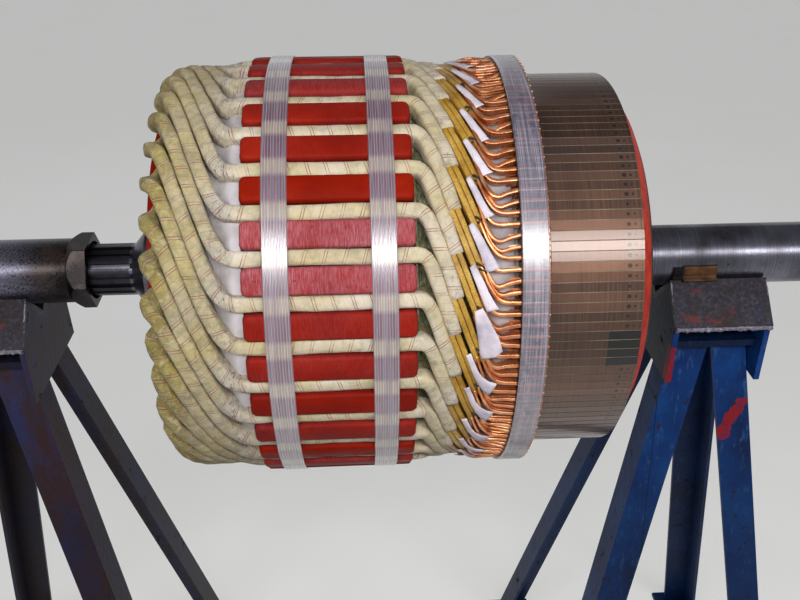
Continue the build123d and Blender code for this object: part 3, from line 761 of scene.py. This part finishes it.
# Bare leads of a fluted section, four to a coil end, bent round into their risers
leads = Mesh()
RISER_FACE, FREE_LENGTH = 187.5, 45.0
half = [(0.0, 5.1), (1.5, 5.05), (2.05, 4.5), (2.05, 2.2), (1.45, 1.75), (2.05, 1.3), (2.05, -1.3),
        (1.45, -1.75), (2.05, -2.2), (2.05, -4.5), (1.5, -5.1)]
flat = np.array(half + [(0.0, -5.1)] + [(-w, h) for w, h in half[:0:-1]])
# The points in the grooves of the section carry the painted shade
groove_shade = np.where(np.abs(flat[:, 0]) < 1.48, 0.9, 0.0)
groove_shade[np.abs(flat[:, 1]) > 4.4] = 0.0
LEADS = [
    [(141.5, -34.7), (145.0, -36.9), (148.4, -38.8), (153.0, -40.6), (158.5, -42.3), (164.0, -43.2),
     (170.5, -43.6), (179.0, -43.6), (RISER_FACE, -43.6)],
    [(144.5, -34.2), (149.0, -36.9), (153.5, -39.2), (158.5, -40.9), (163.0, -41.8), (167.7, -42.0),
     (175.0, -41.5), (RISER_FACE, -41.0)],
    [(137.5, -36.0), (142.5, -39.3), (147.0, -42.2), (150.5, -44.2), (154.5, -45.5), (159.0, -46.2),
     (164.5, -46.5), (173.0, -46.4), (RISER_FACE, -46.3)],
    [(134.3, -36.2), (139.0, -39.8), (143.5, -43.2), (147.5, -46.4), (152.5, -48.6), (158.0, -50.1),
     (164.0, -50.5), (173.0, -49.7), (RISER_FACE, -48.9)],
]
for number, slot, rng in slots(700):
    for kind, path in enumerate(LEADS):
        slide = rng.uniform(-0.25, 0.25)
        drop = rng.uniform(-0.6, 0.2)
        points = []
        for x, a in path:
            # Two of the four sag quickly; in all but the first slots the last one bulges before it sags
            back = RISER_FACE - x
            free = back / FREE_LENGTH
            sag = 8.0 * (1 - exp(-(back / 14) ** 2)) if kind in (1, 3) else 4.6 * free ** 0.8
            if kind == 3 and number > 6:
                sag = 7.0 * max(0.0, (back - 30) / 24) ** 1.5 - 1.2 * exp(-((back - 24) / 10) ** 2)
            points.append((x, a + slide * free, 270.3 - sag + drop * free))
        x, a, r = smooth_line(points, 3.4)[0].T
        ups = radial(a + slot)
        ups[:, 0] -= 0.35 * np.exp(-((x - 158) / 7.0) ** 2) * rng.uniform(0.3, 1.0)
        sweep(leads, at(x, a + slot, r), ups, flat, np.clip(0.62 + (x - x[0]) / 40, 0, 1.15))
        leads.values.setdefault("groove_shade", []).append(np.tile(groove_shade, len(x)))
leads.write("bare_leads", COPPER, "bare_copper", replaces=("upper_leads",))

# White strips laid over the sleeves
strips = Mesh()


def laid_strip(mesh, slot, rows, columns=5):
    """A thin sheet through rows of (left angle, left x, right angle, right x, left radius, right radius)."""
    rows = np.asarray(rows, float)
    fine = np.linspace(0, len(rows) - 1, 3 * (len(rows) - 1) + 1)
    rows = np.stack([np.interp(fine, range(len(rows)), rows[:, k]) for k in range(rows.shape[1])], -1)
    points = []
    for lift in (0.0, -0.7):
        for left_angle, left, right_angle, right, low, high in rows:
            for t in np.linspace(0, 1, columns):
                angle = slot + left_angle + (right_angle - left_angle) * t
                arch = 0.8 * (1 - (2 * t - 1) ** 2)
                points.append(at(left + (right - left) * t, angle, low + (high - low) * t + arch + lift))
    under, last = columns * len(rows), columns - 1
    faces = []
    for a in range(0, under - columns, columns):
        for j in range(a, a + last):
            faces.append((j, j + 1, j + columns + 1, j + columns))
            faces.append(tuple(under + k for k in (j, j + columns, j + columns + 1, j + 1)))
    rim = [*range(last), *range(last, under, columns), *range(under - 2, under - columns, -1),
           *range(under - columns, 0, -columns)]
    faces += [(a, a + under, b + under, b) for a, b in zip(rim, rim[1:] + rim[:1])]
    mesh.add(points, faces)


WIDE_STRIP = [(-34.9, 134.0, -34.0, 143.0, 270.2, 271.8), (-38.5, 136.0, -37.6, 152.0, 270.6, 273.2),
              (-42.5, 139.0, -41.6, 162.0, 271.0, 274.4), (-45.6, 141.0, -44.7, 166.0, 271.2, 275.2),
              (-47.2, 143.5, -46.3, 160.0, 271.4, 274.6)]
BENT_STRIP = [(-36.2, 125.0, -35.6, 131.0, 269.8, 270.6), (-38.6, 129.2, -37.6, 134.5, 270.2, 271.4),
              (-41.8, 134.5, -40.4, 139.5, 270.6, 272.2), (-44.8, 141.0, -42.4, 145.8, 271.2, 272.8),
              (-47.2, 148.0, -43.6, 153.0, 271.8, 273.4), (-48.2, 154.5, -44.2, 162.0, 272.4, 274.2)]
for number, slot, rng in slots(900):
    slide, wide, reach = rng.uniform(-0.6, 0.6), rng.uniform(-0.8, 1.2), rng.uniform(-1.0, 0.6)
    slim = 0.74 if number > 6 else 0.92
    straight = ((-35.2, 129.0, 5.7), (-36.9, 131.6, 7.7 + 0.3 * wide), (-39.2, 135.8, 9.2 + 0.6 * wide),
                (-41.9, 140.6, 10.0 + wide), (-44.2, 144.6, 12.0 + wide), (-46.0 - reach, 147.6, 14.4 + wide))
    # One wide strip, bent ones below it and here and there on the far side, straight ones elsewhere
    if number == 4:
        laid_strip(strips, slot, WIDE_STRIP, 7)
    elif number < 4 or number > 14 and rng.random() < 0.5:
        laid_strip(strips, slot + slide + 0.4 * number, BENT_STRIP)
    else:
        laid_strip(strips, slot + slide, [(a, x, a + 0.8, x + slim * across, 269.8 + 0.4 * k, 270.6 + 0.7 * k)
                                          for k, (a, x, across) in enumerate(straight)])
strips.write("laid_strips", WHITE, "white_insulation")

# Glass bands of strands wound round the core, where a degree is 4.89 mm long. They are lighter
# where they cross the coils.
BAND_WIDTH, BAND_FOOT, DEGREE_LENGTH = 28.6, 0.35, 4.89
bands = Mesh()
for middle, strands in ((-82.7, 9), (35.6, 10)):
    start, width = middle - BAND_WIDTH / 2, BAND_WIDTH / strands
    profile, strand = [(start, CORE_RADIUS + BAND_FOOT)], [0.0]
    for i in range(strands):
        for part, rise, top in ((0.2, 0.7, 0.0), (0.35, 1.6, 1.0), (0.6, 1.75, 1.0), (0.75, 0.9, 0.1)):
            profile.append((start + (i + part) * width, CORE_RADIUS + rise))
            strand.append(top)
    profile.append((start + BAND_WIDTH, CORE_RADIUS + BAND_FOOT))
    strand.append(0.0)
    count = 8 * SLOTS
    off = (np.arange(count) * 360 / count - FIRST_SLOT + PITCH / 2) % PITCH - PITCH / 2
    over = np.clip((11.0 - np.abs(off) * DEGREE_LENGTH) / 3.0, 0, 1)
    lathe(bands, profile, count, over=np.repeat(over, len(profile)), strand=np.tile(strand, count))
bands.write("core_bands", BAND, "glass_band", replaces=("left_core_band", "right_core_band"))

# A wide band of tape over the risers
BAND_START, BAND_END = 186.2, 216.3
profile = [(BAND_START, 277.5)]
profile += [(187.0 + i * 1.36, 278.3 + (0.45 if i % 2 else 0.0)) for i in range(22)]
profile += [(BAND_END, 277.5), (BAND_END, 276.8), (BAND_START, 276.8)]
turned("riser_band_tape", RISER_TAPE, "glass_band", profile, 2 * BAR_COUNT, replaces=("riser_band",))

# Beads of copper at the outer edge of the risers
beads = Mesh()
BEAD_X, BEAD_RADIUS = 217.1, 277.0
for i in range(BAR_COUNT):
    rng = random.Random(1100 + i)
    angle = FIRST_SLOT + (i + 0.5) * BAR_PITCH
    size = rng.uniform(1.0, 1.5)
    points = []
    for t, f in ((0.0, 1.0), (0.5, 0.87), (0.87, 0.5)):
        for k in range(8):
            turn = radians(45 * k)
            points.append(at(BEAD_X + size * f * cos(turn) * 0.9, angle + degrees(size * f * sin(turn) / 278),
                             BEAD_RADIUS + size * t * 1.3))
    points.append(at(BEAD_X, angle, BEAD_RADIUS + size * 1.3))
    beads.add(points, ring_faces(3, 8) + [(16 + k, 16 + (k + 1) % 8, 24) for k in range(8)])
beads.write("riser_beads", COPPER, "bare_copper")

# The rough neck between the risers and the turned bars
turned("riser_neck", NECK, "bar_copper", [(217.4, 254.0), (217.4, 256.6), (218.6, 256.2), (220.4, 255.2),
                                          (222.6, 254.5), (223.6, 254.0)], 2 * BAR_COUNT)

# Mica between the commutator bars
mica = Mesh()
HALF_MICA = 0.57
outline = [(186.6, 206.5), (329.4, 206.5), (329.4, 253.7), (217.0, 253.7), (217.0, 276.2), (186.6, 276.2)]
for i in range(BAR_COUNT):
    up = radial(FIRST_SLOT + i * BAR_PITCH)
    points = [beside(x, up, r, side) for side in (-HALF_MICA, HALF_MICA) for x, r in outline]
    mica.add(points, [tuple(range(6))[::-1], tuple(range(6, 12))] + ring_faces(2, 6))
mica.write("bar_mica", MICA, "white_insulation", smooth=False)

# Bolts and a clamping ring on the commutator's end cap
bolts = Mesh()
BOLT_COUNT, BOLT_CIRCLE = 12, 145
for i in range(BOLT_COUNT):
    angle = 360.0 / BOLT_COUNT * (i + 0.5)
    for height, wide, low, sides in ((364.5, 10.5, 357.6, 6), (358.9, 13.5, 357.0, 20)):
        points = []
        for x, part in ((low, 1.0), (height - 1.2, 1.0), (height, 0.88)):
            for k in range(sides):
                turn = 2 * pi * k / sides + 0.4 * i
                points.append(at(x, angle + degrees(wide * part * sin(turn) / BOLT_CIRCLE),
                                 BOLT_CIRCLE + wide * part * cos(turn)))
        bolts.add(points, ring_faces(3, sides) + [tuple(range(2 * sides, 3 * sides))])
bolts.write("cap_bolts", BOLT, "dark_steel", smooth=False)
turned("cap_ring", IRON, "dark_steel", [
    (353.6, 120.0), (357.2, 120.4), (358.0, 121.5), (358.0, 126.0), (357.4, 126.6), (357.4, 163.0),
    (358.0, 163.6), (358.0, 168.0), (357.2, 169.2), (353.6, 169.5)], 120)

# Packing between the shaft and the right cradle, rough edges and welds of the stands
STAND_MIDDLES = (-510.0, 510.0)
LEG_TOP, LEG_HEEL, LEG_FLANGE = 892.0, (51.0, 60.0), 50.0
BEAD_STEP = 3.2


def bent_sheet(mesh, line, start, end, thick, lift=1.2):
    """A sheet along X whose section follows a line of (y, z) points and whose ends curl up."""
    line = np.asarray(line, float)
    run = np.gradient(line, axis=0)
    run /= np.linalg.norm(run, axis=1)[:, None]
    side = np.stack([-run[:, 1], run[:, 0]], -1)
    outer, inner = line + side * thick / 2, line - side * thick / 2
    stations = np.linspace(start, end, 9)
    points = []
    for k, x in enumerate(stations):
        curl = lift * (abs(2 * k / 8 - 1) ** 3)
        points += [(x * 0.001, (y - curl * 0.4) * 0.001, (z + curl * 0.3) * 0.001)
                   for y, z in np.vstack([outer, inner[::-1]])]
    size = 2 * len(line)
    ends = [tuple(range(size))[::-1], tuple(range(8 * size, 9 * size))]
    mesh.add(points, ends + ring_faces(9, size))


def seat_line(first, last, radius, lip):
    """Points (y, z) that lie round the shaft, then out over the cradle's ridge."""
    turn = np.radians(np.linspace(first, last, 7))
    line = [(-radius * c, AXIS + radius * s) for c, s in zip(np.cos(turn), np.sin(turn))]
    return line + lip


# The sleeve pushed over the splines: a plain tube, and a six-sided collar whose corners are
# turned down to the tube by a cone
SLEEVE, BORE, COLLAR_BORE, CORNER = 44.4, 36.3, 40.0, 52.5
TUBE_START, TUBE_END, COLLAR = -690.0, -385.0, (-384.0, -373.0, -357.0)
turned("sleeve_tube", RUSTY, "rusty_steel", [
    (TUBE_START, BORE), (TUBE_START, BORE + 0.8), (TUBE_START, SLEEVE - 0.8),
    (TUBE_START + 0.2, SLEEVE - 0.2), (TUBE_START + 0.8, SLEEVE), (TUBE_START + 2, SLEEVE),
    (TUBE_END - 1, SLEEVE), (TUBE_END - 0.2, SLEEVE), (TUBE_END, SLEEVE - 0.2), (TUBE_END, COLLAR_BORE),
    (TUBE_END - 9, COLLAR_BORE), (TUBE_END - 9, BORE), (TUBE_END - 9.8, BORE), (TUBE_START + 0.8, BORE),
    (TUBE_START, BORE)], 96, replaces=("end_sleeve",))
angles = np.arange(0.0, 360.0, 1.5)
flat = CORNER * cos(radians(30)) / np.cos(np.radians((angles + 2.0) % 60 - 30))
steps = np.concatenate([np.arange(COLLAR[0] - 1.5, COLLAR[1], 0.75), [COLLAR[1], COLLAR[2]]])
cone = SLEEVE + (CORNER - SLEEVE) * np.clip((steps - COLLAR[0]) / (COLLAR[1] - COLLAR[0]), 0, 1)
sides = np.maximum(SLEEVE + 0.02, np.minimum(flat[:, None], cone[None, :]))
points = []
for angle, side in zip(angles, sides):
    line = [*zip(steps, side), (COLLAR[2], COLLAR_BORE), (COLLAR[0], COLLAR_BORE)]
    points += [at(x, angle, radius) for x, radius in line]
collar = Mesh()
size, count = len(steps) + 2, len(angles)
collar.add(points, [[k % len(points) for k in face] for face in ring_faces(count + 1, size)])
collar.write("sleeve_collar", RUSTY, "rusty_steel", smooth=False)

packing = Mesh()
bent_sheet(packing, seat_line(5, -16, 44.9, [(-47.6, AXIS - 14.4), (-52.6, AXIS - 14.6)]), 458.0, 506.0, 2.0)
packing.write("packing_pad", PACKING, "bare_plate", "stands")
# The end of the packing, further into the seat, is painted almost black as shade
packing = Mesh()
bent_sheet(packing, seat_line(2, -16, 45.2, [(-48.0, AXIS - 14.4)]), 444.5, 457.2, 2.4)
packing.write("packing_end", SHADED_BOARD, "bare_plate", "stands")


def bead(mesh, start, end, size, seed):
    """A ragged bead of metal along a straight edge."""
    rng = random.Random(seed)
    start, end = np.array(start) * 0.001, np.array(end) * 0.001
    count = max(4, int(np.linalg.norm(end - start) * 1000 / BEAD_STEP))
    line = start + (end - start) * np.linspace(0, 1, count)[:, None]
    line += np.array([[rng.uniform(-0.25, 0.25) * size * 0.001 for _ in range(3)] for _ in range(count)])
    fat = np.array([rng.uniform(0.65, 1.35) for _ in range(count)])
    ups = np.tile(np.cross(end - start, (0.3, 0.5, 1.0)), (count, 1))
    sweep(mesh, line, ups, rounded(size, size, size * 0.9), fat, fat)


edges, welds = Mesh(), Mesh()
for stand, (name, middle) in enumerate(zip(("left", "right"), STAND_MIDDLES)):
    low, high = (np.array(corner) * 1000 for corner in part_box(f"{name}_cradle_front_angle"))
    for out, down, size, seed in ((2.2, 2.6, 3.1, 41), (1.2, 5.0, 1.9, 43), (4.6, 1.6, 2.0, 45)):
        y, z = low[1] + out, low[2] + down
        bead(edges, (low[0] + 1, y, z), (high[0] - 1, y, z), size, seed + 7 * stand)
    for x in (low[0] + 0.6, high[0] - 0.6):
        bead(edges, (x, low[1] + 5.0, low[2] + 8.4), (x, -47.0, high[2] - 2.8), 1.2, 60 + stand + int(x))
    for side_x in (-1, 1):
        for side_y in (-1, 1):
            x, y, z = middle + side_x * LEG_HEEL[0], side_y * LEG_HEEL[1], LEG_TOP - 1.2
            seed = 50 + 8 * stand + 2 * side_x + side_y
            out_x, out_y = x + side_x * 0.8, y + side_y * 0.8
            bead(welds, (x, out_y, z), (x - side_x * LEG_FLANGE, out_y, z), 2.1, seed)
            bead(welds, (out_x, y, z), (out_x, y - side_y * LEG_FLANGE, z), 2.1, seed + 40)
edges.write("cut_edges", CUT, "bare_plate", "stands")
welds.write("leg_welds", BLUE, "blue_paint", "stands")

# Finishes of the pieces that keep their modelled shape
finishes = {
    "shaft": STEEL, "end_sleeve": RUSTY, "core_spider": IRON, "rear_pressure_plate": RED,
    "front_pressure_plate": RED, "rear_shelf": SHELF, "front_shelf": FIBRE, "lower_leads": COPPER,
    "commutator_bars": BARS, "commutator_hub": IRON, "end_ring": RING_RED, "end_cap": IRON,
    "rear_support_drum": RED, "rear_support_flange": RED, "front_support_drum": FIBRE,
    "lead_backing": PALE_GREY,
}
for side in ("left", "right"):
    finishes.update({f"{side}_cradle_front_angle": PLATE, f"{side}_cradle_rear_angle": PLATE,
                     f"{side}_end_plates": BLUE, f"{side}_base_plate": BLUE})
    for leg in ("front_left", "front_right", "rear_left", "rear_right"):
        finishes[f"{side}_{leg}_leg"] = BLUE
for name, material in finishes.items():
    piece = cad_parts[name]
    for holder in piece.material_slots:
        holder.material = material
    if name.startswith(("left", "right")):
        edge = piece.modifiers.new("edge", "BEVEL")
        edge.width, edge.segments, edge.limit_method = 0.0009, 2, "ANGLE"

# Floor, light and camera
ground = bpy.data.meshes.new("floor")
ground.from_pydata([(-30, -30, 0), (30, -30, 0), (30, 30, 0), (-30, 30, 0)], [], [(0, 1, 2, 3)])
ground_paint = Paint("floor", "#c2c2c0", 0.9)
ground_paint.set(Base_Color=ground_paint.ramp(ground_paint.noise(2.0), [(0.3, "#bcbcba"), (0.7, "#c6c6c4")]),
                 Emission_Color=rgb("#e6e6e4"), Emission_Strength=ground_paint.background_ray() * 0.54)
ground.materials.append(ground_paint.material)
ground_piece = bpy.data.objects.new("floor", ground)
bpy.context.scene.collection.objects.link(ground_piece)


def lamp(name, energy, wide, tall, place, target, colour=(1, 1, 1)):
    data = bpy.data.lights.new(name, "AREA")
    data.shape, data.size, data.size_y = "RECTANGLE", wide, tall
    data.energy, data.color = energy, colour
    item = bpy.data.objects.new(name, data)
    item.location = place
    item.rotation_euler = (Vector(target) - Vector(place)).to_track_quat("-Z", "Y").to_euler()
    bpy.context.scene.collection.objects.link(item)


lamp("front_light", 28, 3.0, 0.28, (0.1, -1.12, 1.74), (0.1, -0.15, 1.08), (1.0, 0.98, 0.96))
lamp("top_light", 4, 2.4, 2.4, (0.3, -0.9, 3.1), (0, 0, 1.0), (0.93, 0.96, 1.0))
lamp("back_light", 7, 2.4, 2.4, (-0.4, 2.4, 2.4), (0, 0, 0.9), (0.93, 0.96, 1.0))
world = bpy.data.worlds.new("studio")
bpy.context.scene.world = world
world.use_nodes = True
sky = Nodes(world.node_tree)
# Light from all round; the backdrop that shows is pale near the floor and darker overhead
fill = sky.add("Background", Color=(0.80, 0.84, 0.90, 1), Strength=0.13)
height = sky.split(sky.add("TexCoord", "Generated"))[2]
backdrop = sky.ramp(height, [(0.12, (0.5, 0.5, 0.5, 1)), (0.5, (0.14, 0.14, 0.15, 1))])
backdrop = sky.add("Background", Color=backdrop, Strength=1.0)
both = sky.add("MixShader", i0=sky.background_ray(), i1=fill, i2=backdrop)
sky.put(world.node_tree.nodes["World Output"], "Surface", both)
bpy.context.scene.view_settings.view_transform = "Standard"

camera = bpy.data.objects.new("camera", bpy.data.cameras.new("camera"))
bpy.context.scene.collection.objects.link(camera)
bpy.context.scene.camera = camera
camera.data.sensor_width = 36.0
camera.data.lens = 38.03
camera.location = (0.00667, -1.05617, 1.55433)
camera.rotation_euler = Vector((0.0484, 0.8625, -0.5037)).to_track_quat("-Z", "Y").to_euler()
